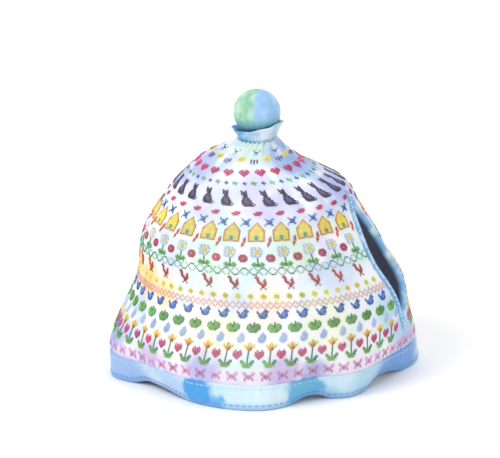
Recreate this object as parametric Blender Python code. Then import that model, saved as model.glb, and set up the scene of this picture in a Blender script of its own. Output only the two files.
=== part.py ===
"""Tea cosy: a hollow bell of cotton cloth that stands on its fluted hem.

The pieces are the ones a maker would cut: a front and a back panel joined by
seams at both sides, a border strip around the hem, a binding around the slit
left open in each side seam, a frilled collar and a stuffed bobble at the neck.

X runs from the left slit to the right one, the front panel faces -Y, and the
origin is in the middle of the hem on the surface the cosy stands on.
Sizes are in millimetres and become metres where the points are made.
"""

import math

import bmesh
import bpy
from mathutils import Vector

MM = 0.001
GAP = 0.3  # between neighbouring pieces

CLOTH = 3.0  # wall of the panels and the border, two layers quilted together
BORDER_TOP = 17.0
NECK_TOP = 154.0

# The bell, from the hem up. Lean moves a level's centre towards the right slit.
# height, radius, lean
BELL = (
    (0.0, 92.0, 0.0),
    (10.0, 94.5, -0.3),
    (19.0, 95.8, -0.8),
    (28.0, 95.5, -0.6),
    (39.0, 93.0, 1.0),
    (56.0, 88.0, 4.2),
    (66.0, 84.4, 3.9),
    (76.0, 80.6, 1.4),
    (86.0, 77.4, -1.2),
    (97.0, 72.6, -2.6),
    (110.0, 64.8, -2.4),
    (122.0, 57.2, -1.2),
    (130.0, 46.9, -4.5),
    (137.0, 36.6, -7.6),
    (143.0, 28.1, -7.6),
    (149.0, 19.4, -4.9),
    (154.0, 12.6, -2.3),
)

# The hem's flutes, each one out or in, counted from the front towards the right.
# degrees, radius at the hem, lift off the surface
FLUTES = (
    (12.5, 101.5, 0.0),
    (37.0, 82.5, 3.0),
    (52.0, 91.5, 0.0),
    (77.0, 82.0, 4.0),
    (118.0, 102.5, 0.0),
    (149.0, 84.0, 3.0),
    (177.0, 100.5, 0.0),
    (205.0, 83.5, 3.5),
    (236.0, 100.5, 0.0),
    (266.0, 85.0, 2.5),
    (295.0, 100.5, 0.0),
    (318.0, 84.0, 3.5),
)
FLUTES_END = 50.0  # height at which the flutes have died away
FLUTES_FADE = 1.7

# The slits left open in the side seams, each with a binding around it.
BINDING_WIDTH = 4.0
BINDING_PROUD = 0.6  # above the wall, on each face
BINDING_ROUND = 1.1  # how far its rounded fold reaches in from the slit
# name, degrees from the front, lowest and highest point, widest half width
SLITS = (
    ("left", -90.0, 30.0, 88.0, 8.5),
    ("right", 90.0, 39.0, 114.0, 14.0),
)
POINT_REACH = 2.0  # an offset of 1 moves the slit's pointed ends by this much

COLLAR_WALL = 1.6
COLLAR_FOOT = NECK_TOP + GAP
COLLAR_RIM = 162.5
COLLAR_FLARE = 3.6
COLLAR_TIPS = 0.6  # how much higher its rim stands at the sides than in front
COLLAR_TILT = 2.6  # how much higher its rim stands at the right than in the middle
COLLAR_SPREAD = 0.9  # how much wider it flares at the sides than in front
RUFFLES = 7
RUFFLE_DEPTH = 0.9
RUFFLE_UNEVEN = 0.9  # crowds them on one side

BOBBLE_RADIUS = 15.0
BOBBLE_CENTRE = 171.2
BOBBLE_TIE = 7.4  # radius where it is drawn in
BOBBLE_PLUG = 10.2  # radius of its gathered foot inside the neck
BOBBLE_FOOT = 149.5
BOBBLE_EDGE = 0.8  # round of the foot's lower edge
BOBBLE_GATHERS = 14
BOBBLE_GATHER_DEPTH = 0.45

READ_DEGREES = 0.5  # steps over which a surface's direction is read
READ_HEIGHT = 0.5
READ_SHARE = 0.05

PANEL_COLUMNS = 34
ROWS_UNDER_SLIT = 3
ROWS_AT_SLIT = 12
ROWS_OVER_SLIT = 9
NECK_CROWDING = 1.5  # draws the upper rows together towards the neck
BORDER_COLUMNS = 84
BORDER_ROWS = 3
COLLAR_COLUMNS = 54
COLLAR_ROWS = 3
BOBBLE_COLUMNS = 28
BOBBLE_ROWS = 12

WHITE_COTTON = (0.86, 0.87, 0.90)
BLUE_COTTON = (0.33, 0.55, 0.80)
PALE_BLUE_COTTON = (0.50, 0.72, 0.86)
SEA_GREEN_COTTON = (0.30, 0.60, 0.66)


def eased(share):
    """A share from 0 to 1 that starts and ends level."""
    return share * share * (3.0 - 2.0 * share)


def slope(table, row, column):
    """The table's slope at one of its rows, from the rows beside it."""
    before = table[max(row - 1, 0)]
    after = table[min(row + 1, len(table) - 1)]
    return (after[column] - before[column]) / (after[0] - before[0])


def read_smoothly(table, height, column):
    """A smooth curve through one column of a table that rises with height."""
    row = 0
    while row < len(table) - 2 and height > table[row + 1][0]:
        row += 1
    low, high = table[row], table[row + 1]
    step = high[0] - low[0]
    t = (height - low[0]) / step
    return (
        (1.0 + 2.0 * t) * (1.0 - t) ** 2 * low[column]
        + t * (1.0 - t) ** 2 * step * slope(table, row, column)
        + t * t * (3.0 - 2.0 * t) * high[column]
        + t * t * (t - 1.0) * step * slope(table, row + 1, column)
    )


def flute(degrees):
    """The hem's radius at an angle, and how far it is lifted there."""
    around = (degrees - FLUTES[0][0]) % 360.0 + FLUTES[0][0]
    closed = FLUTES + ((FLUTES[0][0] + 360.0, *FLUTES[0][1:]),)
    for low, high in zip(closed, closed[1:]):
        if around <= high[0]:
            share = eased((around - low[0]) / (high[0] - low[0]))
            radius = low[1] + share * (high[1] - low[1])
            folded = share if high[2] > low[2] else 1.0 - share
            lift = max(low[2], high[2]) * eased(max(0.0, 2.0 * folded - 1.0))
            return radius, lift
    raise ValueError("the flutes don't close")


def bell(degrees, height):
    """A point on the outer face of the cosy."""
    fade = max(0.0, 1.0 - height / FLUTES_END) ** FLUTES_FADE
    radius = read_smoothly(BELL, height, 1) + fade * (flute(degrees)[0] - BELL[0][1])
    lean = read_smoothly(BELL, height, 2)
    angle = math.radians(degrees)
    return Vector((lean + radius * math.sin(angle), -radius * math.cos(angle), height))


def collar(degrees, share):
    """A point on the outer face of the collar, from its foot (0) to its rim (1)."""
    angle = math.radians(degrees)
    rim = COLLAR_RIM - COLLAR_TIPS * math.cos(2.0 * angle) + COLLAR_TILT * math.sin(angle)
    ruffle = RUFFLE_DEPTH * share * math.cos(RUFFLES * angle + RUFFLE_UNEVEN * math.sin(angle))
    flare = COLLAR_FLARE - COLLAR_SPREAD * math.cos(2.0 * angle)
    radius = BELL[-1][1] + flare * share * abs(share) + ruffle
    height = COLLAR_FOOT + share * (rim - COLLAR_FOOT)
    return Vector((BELL[-1][2] + radius * math.sin(angle), -radius * math.cos(angle), height))


def inwards(surface, degrees, height, depth, reach, level=False):
    """A point at a depth under a surface, square to it, or level with the point above it.

    Reach is how far up and down the surface its direction is read.
    """
    around = surface(degrees + READ_DEGREES, height) - surface(degrees - READ_DEGREES, height)
    up = surface(degrees, height + reach) - surface(degrees, height - reach)
    direction = around.cross(up)
    if level:
        direction.z = 0.0
    return surface(degrees, height) - depth * direction.normalized()


def inside_bell(degrees, height, depth, level=False):
    """A point at a depth inside the cosy's wall."""
    return inwards(bell, degrees, height, depth, READ_HEIGHT, level)


def degrees_aside(height, distance):
    """The angle that a distance along the wall makes at a height."""
    return math.degrees(distance / read_smoothly(BELL, height, 1))


def slit_edge(slit, share, offset):
    """Height and half width of a slit's outline, widened by an offset.

    Share runs from -1 at its lower point to 1 at its upper point.
    """
    lowest, highest, half_width = slit[2:]
    reach = (highest - lowest) / 2.0 + POINT_REACH * offset
    height = (lowest + highest) / 2.0 + reach * share
    return height, (half_width + offset) * math.cos(share * math.pi / 2.0)


def edge_rows(slit):
    """Height and distance from the seam of each row of a panel's side edge."""
    room = BINDING_WIDTH + GAP
    low = slit_edge(slit, -1.0, room)[0]
    high = slit_edge(slit, 1.0, room)[0]
    bottom = BORDER_TOP + GAP / 2.0
    rows = []
    for row in range(ROWS_UNDER_SLIT):
        rows.append((bottom + (low - bottom) * row / ROWS_UNDER_SLIT, 0.0))
    for row in range(ROWS_AT_SLIT + 1):
        rows.append(slit_edge(slit, 2.0 * row / ROWS_AT_SLIT - 1.0, room))
    for row in range(1, ROWS_OVER_SLIT + 1):
        share = 1.0 - (1.0 - row / ROWS_OVER_SLIT) ** NECK_CROWDING
        rows.append((high + (NECK_TOP - high) * share, 0.0))
    return [(height, max(half_width, GAP / 2.0)) for height, half_width in rows]


def closed_mesh(name, outer, inner, ring):
    """One closed solid from the grids of its outer and inner points.

    A grid is a list of rows from the bottom up. A ring's rows run all the way
    round; other rows end at side edges, which are closed too.
    """
    mesh = bmesh.new()
    out, into = (
        [[mesh.verts.new(point * MM) for point in row] for row in grid]
        for grid in (outer, inner)
    )
    rows = len(outer)
    columns = len(outer[0])
    spans = columns if ring else columns - 1
    for column in range(spans):
        beside = (column + 1) % columns
        for row in range(rows - 1):
            mesh.faces.new((out[row][column], out[row][beside],
                            out[row + 1][beside], out[row + 1][column]))
            mesh.faces.new((into[row][beside], into[row][column],
                            into[row + 1][column], into[row + 1][beside]))
        mesh.faces.new((into[0][column], into[0][beside], out[0][beside], out[0][column]))
        mesh.faces.new((out[-1][column], out[-1][beside], into[-1][beside], into[-1][column]))
    if not ring:
        for row in range(rows - 1):
            mesh.faces.new((out[row][0], out[row + 1][0], into[row + 1][0], into[row][0]))
            mesh.faces.new((out[row + 1][-1], out[row][-1], into[row][-1], into[row + 1][-1]))
    return as_object(name, mesh)


def as_object(name, mesh):
    """A named object from a bmesh, shaded smooth except over sharp edges."""
    bmesh.ops.recalc_face_normals(mesh, faces=mesh.faces)
    data = bpy.data.meshes.new(name)
    mesh.to_mesh(data)
    mesh.free()
    data.shade_smooth()
    data.set_sharp_from_angle(angle=math.radians(40.0))
    piece = bpy.data.objects.new(name, data)
    bpy.context.scene.collection.objects.link(piece)
    return piece


def paint(piece, name, colour, roughness):
    """Give a piece its own plain cloth material."""
    material = bpy.data.materials.new(name)
    material.use_nodes = True
    shader = material.node_tree.nodes["Principled BSDF"]
    shader.inputs["Base Color"].default_value = (*colour, 1.0)
    shader.inputs["Roughness"].default_value = roughness
    shader.inputs["Metallic"].default_value = 0.0
    piece.data.materials.append(material)


def make_panel(name, start, end):
    """A front or back panel between the two side seams, cut back at the slits."""
    starts, ends = edge_rows(start), edge_rows(end)
    turn = (end[1] - start[1]) % 360.0
    outer, inner = [], []
    for (low_height, low_room), (high_height, high_room) in zip(starts, ends):
        first = start[1] + degrees_aside(low_height, low_room)
        last = start[1] + turn - degrees_aside(high_height, high_room)
        row_out, row_in = [], []
        for column in range(PANEL_COLUMNS + 1):
            share = column / PANEL_COLUMNS
            degrees = first + (last - first) * share
            height = low_height + (high_height - low_height) * eased(share)
            row_out.append(inside_bell(degrees, height, 0.0))
            row_in.append(inside_bell(degrees, height, CLOTH))
        outer.append(row_out)
        inner.append(row_in)
    panel = closed_mesh(name, outer, inner, ring=False)
    paint(panel, name + "_white_cotton", WHITE_COTTON, 0.85)


def make_border():
    """The strip around the hem: flat underneath where it stands, lifted between flutes."""
    top = BORDER_TOP - GAP / 2.0
    outer, inner = [], []
    for row in range(BORDER_ROWS + 1):
        row_out, row_in = [], []
        for column in range(BORDER_COLUMNS):
            degrees = 360.0 * column / BORDER_COLUMNS
            lift = flute(degrees)[1]
            height = lift + (top - lift) * row / BORDER_ROWS
            row_out.append(inside_bell(degrees, height, 0.0))
            row_in.append(inside_bell(degrees, height, CLOTH, level=row == 0))
        outer.append(row_out)
        inner.append(row_in)
    paint(closed_mesh("hem_border", outer, inner, ring=True), "blue_cotton", BLUE_COTTON, 0.85)


def make_binding(slit):
    """The folded strip sewn around a slit's edge, a little thicker than the wall."""
    outer_face, inner_face = -BINDING_PROUD, CLOTH + BINDING_PROUD
    # offset from the slit's edge, depth in the wall
    section = (
        (0.0, outer_face + BINDING_ROUND),
        (BINDING_ROUND, outer_face),
        (BINDING_WIDTH, outer_face),
        (BINDING_WIDTH, inner_face),
        (BINDING_ROUND, inner_face),
        (0.0, inner_face - BINDING_ROUND),
    )
    mesh = bmesh.new()
    loops = []
    for step in range(2 * ROWS_AT_SLIT):
        side = 1.0 if step < ROWS_AT_SLIT else -1.0
        share = 1.0 - 2.0 * abs(step - ROWS_AT_SLIT) / ROWS_AT_SLIT
        loop = []
        for offset, depth in section:
            height, half_width = slit_edge(slit, share, offset)
            degrees = slit[1] + side * degrees_aside(height, half_width)
            loop.append(mesh.verts.new(inside_bell(degrees, height, depth) * MM))
        loops.append(loop)
    for loop, following in zip(loops, loops[1:] + loops[:1]):
        for corner in range(len(section)):
            beside = (corner + 1) % len(section)
            mesh.faces.new((loop[corner], loop[beside], following[beside], following[corner]))
    binding = as_object(slit[0] + "_slit_binding", mesh)
    paint(binding, slit[0] + "_binding_cotton", PALE_BLUE_COTTON, 0.8)


def make_collar():
    """The frilled collar that stands around the neck."""
    outer, inner = [], []
    for row in range(COLLAR_ROWS + 1):
        share = row / COLLAR_ROWS
        row_out, row_in = [], []
        for column in range(COLLAR_COLUMNS):
            degrees = 360.0 * column / COLLAR_COLUMNS
            row_out.append(collar(degrees, share))
            row_in.append(inwards(collar, degrees, share, COLLAR_WALL, READ_SHARE, level=True))
        outer.append(row_out)
        inner.append(row_in)
    paint(closed_mesh("neck_frill", outer, inner, ring=True), "frill_cotton", PALE_BLUE_COTTON, 0.8)


def make_bobble():
    """The stuffed bobble: a gathered foot in the neck, drawn in by its tie, then the ball."""
    tie_angle = math.asin(BOBBLE_TIE / BOBBLE_RADIUS)
    # radius, height, depth of the gathers
    outline = [
        (BOBBLE_PLUG - BOBBLE_EDGE, BOBBLE_FOOT, 0.0),
        (BOBBLE_PLUG, BOBBLE_FOOT + BOBBLE_EDGE, 0.0),
        (BOBBLE_PLUG, COLLAR_FOOT + BOBBLE_EDGE, 0.0),
        (BOBBLE_TIE, BOBBLE_CENTRE - BOBBLE_RADIUS, BOBBLE_GATHER_DEPTH),
    ]
    for row in range(BOBBLE_ROWS):
        angle = tie_angle + (math.pi - tie_angle) * row / BOBBLE_ROWS
        gathers = BOBBLE_GATHER_DEPTH * max(0.0, 1.0 - 3.0 * row / BOBBLE_ROWS)
        radius = BOBBLE_RADIUS * math.sin(angle)
        outline.append((radius, BOBBLE_CENTRE - BOBBLE_RADIUS * math.cos(angle), gathers))
    mesh = bmesh.new()
    lean = BELL[-1][2]
    loops = []
    for radius, height, gathers in outline:
        loop = []
        for column in range(BOBBLE_COLUMNS):
            angle = 2.0 * math.pi * column / BOBBLE_COLUMNS
            drawn = radius + gathers * math.cos(BOBBLE_GATHERS * angle)
            place = Vector((lean + drawn * math.sin(angle), -drawn * math.cos(angle), height))
            loop.append(mesh.verts.new(place * MM))
        loops.append(loop)
    for loop, above in zip(loops, loops[1:]):
        for column in range(BOBBLE_COLUMNS):
            beside = (column + 1) % BOBBLE_COLUMNS
            mesh.faces.new((loop[column], loop[beside], above[beside], above[column]))
    mesh.faces.new(reversed(loops[0]))
    crown = mesh.verts.new(Vector((lean, 0.0, BOBBLE_CENTRE + BOBBLE_RADIUS)) * MM)
    for column in range(BOBBLE_COLUMNS):
        mesh.faces.new((loops[-1][column], loops[-1][(column + 1) % BOBBLE_COLUMNS], crown))
    paint(as_object("top_bobble", mesh), "sea_green_cotton", SEA_GREEN_COTTON, 0.75)


def main():
    for old in list(bpy.data.objects):
        bpy.data.objects.remove(old)
    left, right = SLITS
    make_panel("front_panel", left, right)
    make_panel("back_panel", right, left)
    make_border()
    for slit in SLITS:
        make_binding(slit)
    make_collar()
    make_bobble()


main()
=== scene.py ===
"""Tea cosy: the looks of a hollow, embroidered cloth cosy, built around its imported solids.

The cosy stands on its fluted hem, with X from the left slit to the right one and
the front panel facing -Y. Sizes in the tables are millimetres; what a user would
change is in the property groups, in metres, as Blender shows it.
"""

import math
import random
from collections import namedtuple

import bpy
import numpy as np
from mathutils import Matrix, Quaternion, Vector


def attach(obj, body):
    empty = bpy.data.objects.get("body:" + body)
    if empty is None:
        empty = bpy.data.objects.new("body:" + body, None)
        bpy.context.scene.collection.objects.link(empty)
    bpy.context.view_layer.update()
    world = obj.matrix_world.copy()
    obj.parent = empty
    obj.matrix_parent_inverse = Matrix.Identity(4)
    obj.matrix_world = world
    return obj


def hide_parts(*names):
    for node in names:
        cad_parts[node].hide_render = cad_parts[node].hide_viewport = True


bl_info = {
    "name": "Embroidered Tea Cosy",
    "version": (1, 0, 0),
    "blender": (4, 5, 0),
    "location": "View3D > Sidebar > Tea Cosy",
    "description": "Dresses the solids of a tea cosy in cloth, sewing and cross-stitch",
    "category": "Object",
}

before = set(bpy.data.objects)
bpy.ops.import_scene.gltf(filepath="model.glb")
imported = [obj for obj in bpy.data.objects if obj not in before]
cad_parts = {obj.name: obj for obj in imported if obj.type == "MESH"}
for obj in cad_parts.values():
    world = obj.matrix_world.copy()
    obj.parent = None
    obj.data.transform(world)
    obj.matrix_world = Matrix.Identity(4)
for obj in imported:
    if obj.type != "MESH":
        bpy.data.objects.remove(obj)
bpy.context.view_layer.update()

MM = 0.001
GAP = 0.3  # between neighbouring pieces
CLOTH = 3.0  # wall of the panels and the border
BORDER_TOP = 17.0  # heights of the seams above the hem
NECK_TOP = 154.0

# The bell, from the hem up. Lean moves a level's centre towards the right slit.
# height, radius, lean
BELL = (
    (0.0, 92.0, 0.0),
    (10.0, 94.5, -0.3),
    (19.0, 95.8, -0.8),
    (28.0, 95.5, -0.6),
    (39.0, 93.0, 1.0),
    (56.0, 88.0, 4.2),
    (66.0, 84.4, 3.9),
    (76.0, 80.6, 1.4),
    (86.0, 77.4, -1.2),
    (97.0, 72.6, -2.6),
    (110.0, 64.8, -2.4),
    (122.0, 57.2, -1.2),
    (130.0, 46.9, -4.5),
    (137.0, 36.6, -7.6),
    (143.0, 28.1, -7.6),
    (149.0, 19.4, -4.9),
    (154.0, 12.6, -2.3),
)

# The hem's flutes, each one out or in, counted from the front towards the right.
# degrees, radius at the hem, lift off the surface
FLUTES = (
    (12.5, 101.5, 0.0),
    (37.0, 82.5, 3.0),
    (52.0, 91.5, 0.0),
    (77.0, 82.0, 4.0),
    (118.0, 102.5, 0.0),
    (149.0, 84.0, 3.0),
    (177.0, 100.5, 0.0),
    (205.0, 83.5, 3.5),
    (236.0, 100.5, 0.0),
    (266.0, 85.0, 2.5),
    (295.0, 100.5, 0.0),
    (318.0, 84.0, 3.5),
)
FLUTES_END = 50.0  # height at which the flutes have died away
FLUTES_FADE = 1.7  # over 1, they die away faster near the hem

# Waves of gathered cloth around the cosy: how many, how far they drift and in how many bends
HEM_PUCKERS = (84, 2.0, 5)
NECK_GATHERS = (22, 1.6, 3)
BORDER_GATHERS = (96, 2.5, 7)
COLLAR_RUFFLES = (7, 0.9, 1)
BOBBLE_FOLDS = (19, 1.4, 2)

BORDER_EDGE = BORDER_TOP - GAP / 2.0
BORDER_TURN = 6.0  # height over which the border's face turns from level to the bell's own slope
BORDER_FOLD = 4.0  # height of the hem's fold, which a flute lifts whole
BORDER_GATHER_DEPTH = 0.35
# The border's section down the outer face: height, depth under the face
BORDER_SECTION = (
    (BORDER_EDGE, 1.0), (BORDER_EDGE - 0.35, 0.35), (BORDER_EDGE - 0.9, 0.08),
    (BORDER_EDGE - 1.8, 0.0), (11.5, 0.0), (9.0, 0.0), (6.5, 0.0), (4.5, 0.0), (2.9, 0.0),
    (1.6, 0.0), (0.8, 0.2), (0.3, 0.65), (0.0, CLOTH / 2.0),
)

# Degrees are counted from the front; the half width is a slit's widest.
Slit = namedtuple("Slit", "side degrees lowest highest half_width")
SLITS = (Slit("left", -90.0, 30.0, 88.0, 8.5), Slit("right", 90.0, 39.0, 114.0, 14.0))
POINT_REACH = 2.0  # an offset of 1 moves a slit's pointed ends by this much
BINDING_WIDTH = 4.0
BINDING_PROUD = 0.6  # how far it stands off both faces
BINDING_RUN = 2.1  # length of a binding, as a share of its slit's height
BINDING_PUCKER = 2.9  # distance between a binding's small puckers, and between its stitches
BINDING_PUCKER_DEPTH = 0.14
BINDING_LIP = 1.5  # within this distance of the slit's edge the puckers are slight
BINDING_SEAM = 3.0  # distance of its stitches from the slit's edge
# A binding's section over the outer face: distance from the slit's edge, depth in the wall
BINDING_SECTION = (
    (0.0, CLOTH / 2.0), (0.12, 0.7), (0.45, 0.375), (1.0, -BINDING_PROUD),
    (1.9, -BINDING_PROUD - 0.12), (2.9, -BINDING_PROUD), (3.6, -BINDING_PROUD + 0.3),
    (BINDING_WIDTH, -BINDING_PROUD + 0.9),
)

NECK_RADIUS, NECK_LEAN = BELL[-1][1:]
COLLAR_WALL = 1.6
COLLAR_FOOT = NECK_TOP + GAP
COLLAR_RIM = 162.5  # mean height of the rim
COLLAR_LENGTH = 9.0  # up the cloth
COLLAR_FLARE = 3.6  # how far it leans out, and how much further at the sides
COLLAR_SPREAD = 0.9
COLLAR_TIPS = 0.6  # how much higher its sides stand, and how much it rises to the right
COLLAR_TILT = 2.6
RUFFLE_DEPTH = 0.9
COLLAR_GATHERS = 34
COLLAR_GATHER_DEPTH = 0.28
COLLAR_DIP = 0.35  # how deep the gathering thread draws its foot in
COLLAR_DIP_REACH = 0.08
COLLAR_THREAD = (0.08, 0.12)  # the gathering thread's share of the height, and its depth
# The collar's section up the outer face: share of its height, depth under the face. Its
# foot is tucked down behind the panels' gathers.
COLLAR_SECTION = (
    (-0.06, 0.0), *((share, 0.0) for share in np.linspace(0.0, 0.93, 12)),
    (0.975, 0.18), (0.995, 0.5), (1.0, COLLAR_WALL / 2.0),
)

BOBBLE_RADIUS = 15.0
BOBBLE_CENTRE = 171.2
BOBBLE_TIE = 7.4  # radius at which the ball is drawn in
BOBBLE_PLUG = 10.2  # radius of the foot that fills the neck, and the foot's height
BOBBLE_FOOT = 149.5
BOBBLE_UNEVEN = 0.18
BOBBLE_LOWER_FOLDS = (0.6, 0.2)  # greatest depth, and reach as a share of the way over the ball
BOBBLE_UPPER_FOLDS = (0.3, 0.07)
BOBBLE_CAP = 0.012  # radians that the ball's last ring leaves for its cap
# The bobble's gathered foot, which fills the neck: radius, height, depth of its folds
BOBBLE_STEM = (
    (BOBBLE_PLUG - 0.8, BOBBLE_FOOT, 0.3), (BOBBLE_PLUG - 0.1, BOBBLE_FOOT + 0.8, 0.3),
    (BOBBLE_PLUG - 0.1, COLLAR_FOOT - 1.0, 0.3), (BOBBLE_PLUG - 0.3, COLLAR_FOOT + 0.5, 0.3),
    (9.2, COLLAR_FOOT + 1.2, 0.4), (8.1, COLLAR_FOOT + 2.0, 0.5),
    (BOBBLE_TIE - 0.2, COLLAR_FOOT + 2.7, 0.5), (BOBBLE_TIE - 0.3, COLLAR_FOOT + 3.3, 0.5),
)

# Soft creases, placed one by one: pulls from the slits' ends, the sag between the
# flutes, slack on the shoulders. A negative depth is a ridge.
# degrees, height, tilt from upright, half length, half width, depth
CREASES = (
    (-64.0, 58.0, 24.0, 24.0, 6.0, 0.8),
    (-71.0, 96.0, -20.0, 20.0, 5.0, 0.7),
    (-46.0, 42.0, -8.0, 20.0, 7.0, 0.8),
    (-30.0, 62.0, 14.0, 26.0, 8.0, -0.6),
    (-12.0, 104.0, -16.0, 24.0, 7.0, 0.5),
    (8.0, 56.0, 6.0, 26.0, 11.0, -0.7),
    (24.0, 84.0, 20.0, 26.0, 7.0, 0.5),
    (38.0, 40.0, 6.0, 18.0, 6.0, 0.8),
    (56.0, 74.0, -26.0, 26.0, 6.0, 0.8),
    (64.0, 118.0, 22.0, 20.0, 5.0, 0.7),
    (70.0, 34.0, -14.0, 14.0, 6.0, 0.6),
    (112.0, 66.0, 24.0, 24.0, 6.0, 0.8),
    (126.0, 104.0, -18.0, 24.0, 7.0, 0.6),
    (150.0, 46.0, 8.0, 22.0, 7.0, 0.9),
    (172.0, 88.0, -12.0, 28.0, 8.0, -0.6),
    (190.0, 60.0, 14.0, 24.0, 7.0, 0.6),
    (207.0, 42.0, -6.0, 20.0, 7.0, 0.9),
    (228.0, 98.0, 18.0, 24.0, 6.0, 0.6),
    (250.0, 52.0, -22.0, 22.0, 6.0, 0.8),
)
SEAM_LAP = 0.1  # how far sewn edges press into each other, so that no light passes a seam
SEAM_DIP = 1.0  # how deep the cloth is drawn in at a seam
SEAM_SOFT = 1.3  # distance over which it comes back out
NECK_DIP = 0.3  # the same at the neck, as a share
PUCKER_STEP = 6.5  # from one pucker to the next along a side seam
PUCKER_DEPTH = 0.32
PUCKER_REACH = 6.5
NECK_GATHER_DEPTH = 0.55
NECK_GATHER_REACH = 17.0

# Stranded cotton, by the letter that a chart uses
FLOSS = {
    "k": "#4E4460", "K": "#7D7196", "p": "#D85685", "P": "#F0A9CB", "c": "#CC3B64",
    "g": "#79B95A", "G": "#3A8A56", "u": "#4E9A78", "m": "#93CDB0", "l": "#A9D277",
    "o": "#F3A03A", "y": "#F8D24A", "Y": "#FBEB7C", "h": "#FFE95C", "H": "#FFF29B",
    "b": "#3B6BC8", "t": "#2F6C9C", "B": "#B8D6F4", "s": "#C2C6EE", "r": "#C5524A",
    "R": "#E56A36", "n": "#8A4E2E", "a": "#EBA99B", "e": "#E3BCA4", "v": "#C893C4",
    "V": "#E9C8E6", "d": "#AEBBE0", "w": "#F3F5FC", "z": "#D4DA5E", "W": "#D7984A",
    "x": "#7FA4E6",
}

# Cross-stitch charts, one letter a stitch, read as they are seen
CHARTS = {
    "butterfly": """
        VV....VV
        VPV..VPV
        .PVvvVP.
        ..vpPv..
        .vVPPVv.
        .v....v.
    """,
    "tulip": """
        ...Yy....
        .Y.yYy.Y.
        .yYyyyyy.
        ..yoony..
        ...oRn...
        ....n....
        ....G....
        ....G....
        ....G....
        ....G....
        ....G....
        gg..G..uu
        ggg.G.uug
        .lgggguu.
        .llggglg.
        ..lglgl..
    """,
    "small_heart": """
        .p..p.
        pPpppp
        pppppp
        pppppc
        .pppc.
        ..pc..
    """,
    "drop": """
        ..B..
        .sBB.
        .BBBs
        BBBBs
        BBBss
        BBsss
        .Bss.
    """,
    "apple": """
        ....n....
        .gg.Gggg.
        gggGGgggG
        glggGgggG
        glggggggG
        .gggggGG.
        ..ggggG..
    """,
    "bluebird": """
        .....bb.
        b...bbbn
        bb.bxxb.
        .bbxxbt.
        .tbbxbt.
        ..tttt..
    """,
    "coral_chain": """
        ..a...e.
        .a.a.e.e
        a...a...
        .e.e.a.a
        ..e...a.
    """,
    "dot": """
        .YY.
        Yyzy
        yzzY
        .YY.
    """,
    "redbird": """
        .r......
        nrr.....
        .rr...r.
        .rr..rr.
        .rrr.rr.
        ..rrrrr.
        ...rrr..
        ...nn...
        ..n..n..
    """,
    "vine": """
        ..uuu...m.m.
        .u...u.m...m
        u.....u.....
        .m...m.u...u
        ..m.m...uuu.
    """,
    "daisy": """
        ..dwd.dw..
        .dwwdwwd..
        ..dwhzhwd.
        .dwwzhzww.
        ..dwhzhwd.
        .dwwdwwd..
        ..dwd.dw..
        .....G....
        .....G....
        .....G....
        ..gg.G.gg.
        .gggGGgggg
        ..GggGggG.
    """,
    "rose": """
        .cccc.
        ccpccc
        ccPpcc
        ccpccc
        .cccc.
    """,
    "house": """
        .....R.....
        ....WhW....
        ...WhhhW...
        ..WhHHhhW..
        .WhhHhhhhW.
        WWhhhhhhhWW
        WhhHhhhHhhW
        WhHHhhhHHhW
        WhHHhhhHHhW
        WhhhmumhhhW
        WhhhmumhhhW
        WhhhmumhhhW
        WWWWeeeWWWW
    """,
    "post": """
        ..R
        .Rr
        .Rr
        .Rr
        Rr.
        Rr.
        R..
    """,
    "cross": """
        t...xb
        .tbxb.
        ..btb.
        .btbt.
        b...xt
    """,
    "dash": """
        ..cppp.
        ccpppp.
        .ccpp..
    """,
    "cat": """
        ..k..k....
        ..kkkk....
        ..kKkk....
        ..kkkk....
        ...kkk....
        ...kkk....
        ..kkKkk...
        ..kKKkk...
        .kkKKKkk..
        .kkKKKkk..
        .kkkKKkkk.
        .kkkkkkk.k
        ..kkkkkkk.
    """,
    "green_bud": """
        .m..
        mmlm
        lmm.
        ..m.
    """,
    "blue_bud": """
        .b.
        btb
        .b.
    """,
    "heart": """
        .pp.pp.
        pPppppp
        pppppcp
        .ppppc.
        ..ppc..
        ...p...
    """,
    "gold_bud": """
        .YhY.
        Yhzhh
        hzzhY
        .hhY.
    """,
    "violet_pair": """
        K.k.K
        K.k.k
        k.K.k
        s.b.s
    """,
    "sprig": """
        K...K
        .KbK.
        ..K..
        .s.s.
    """,
}

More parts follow.
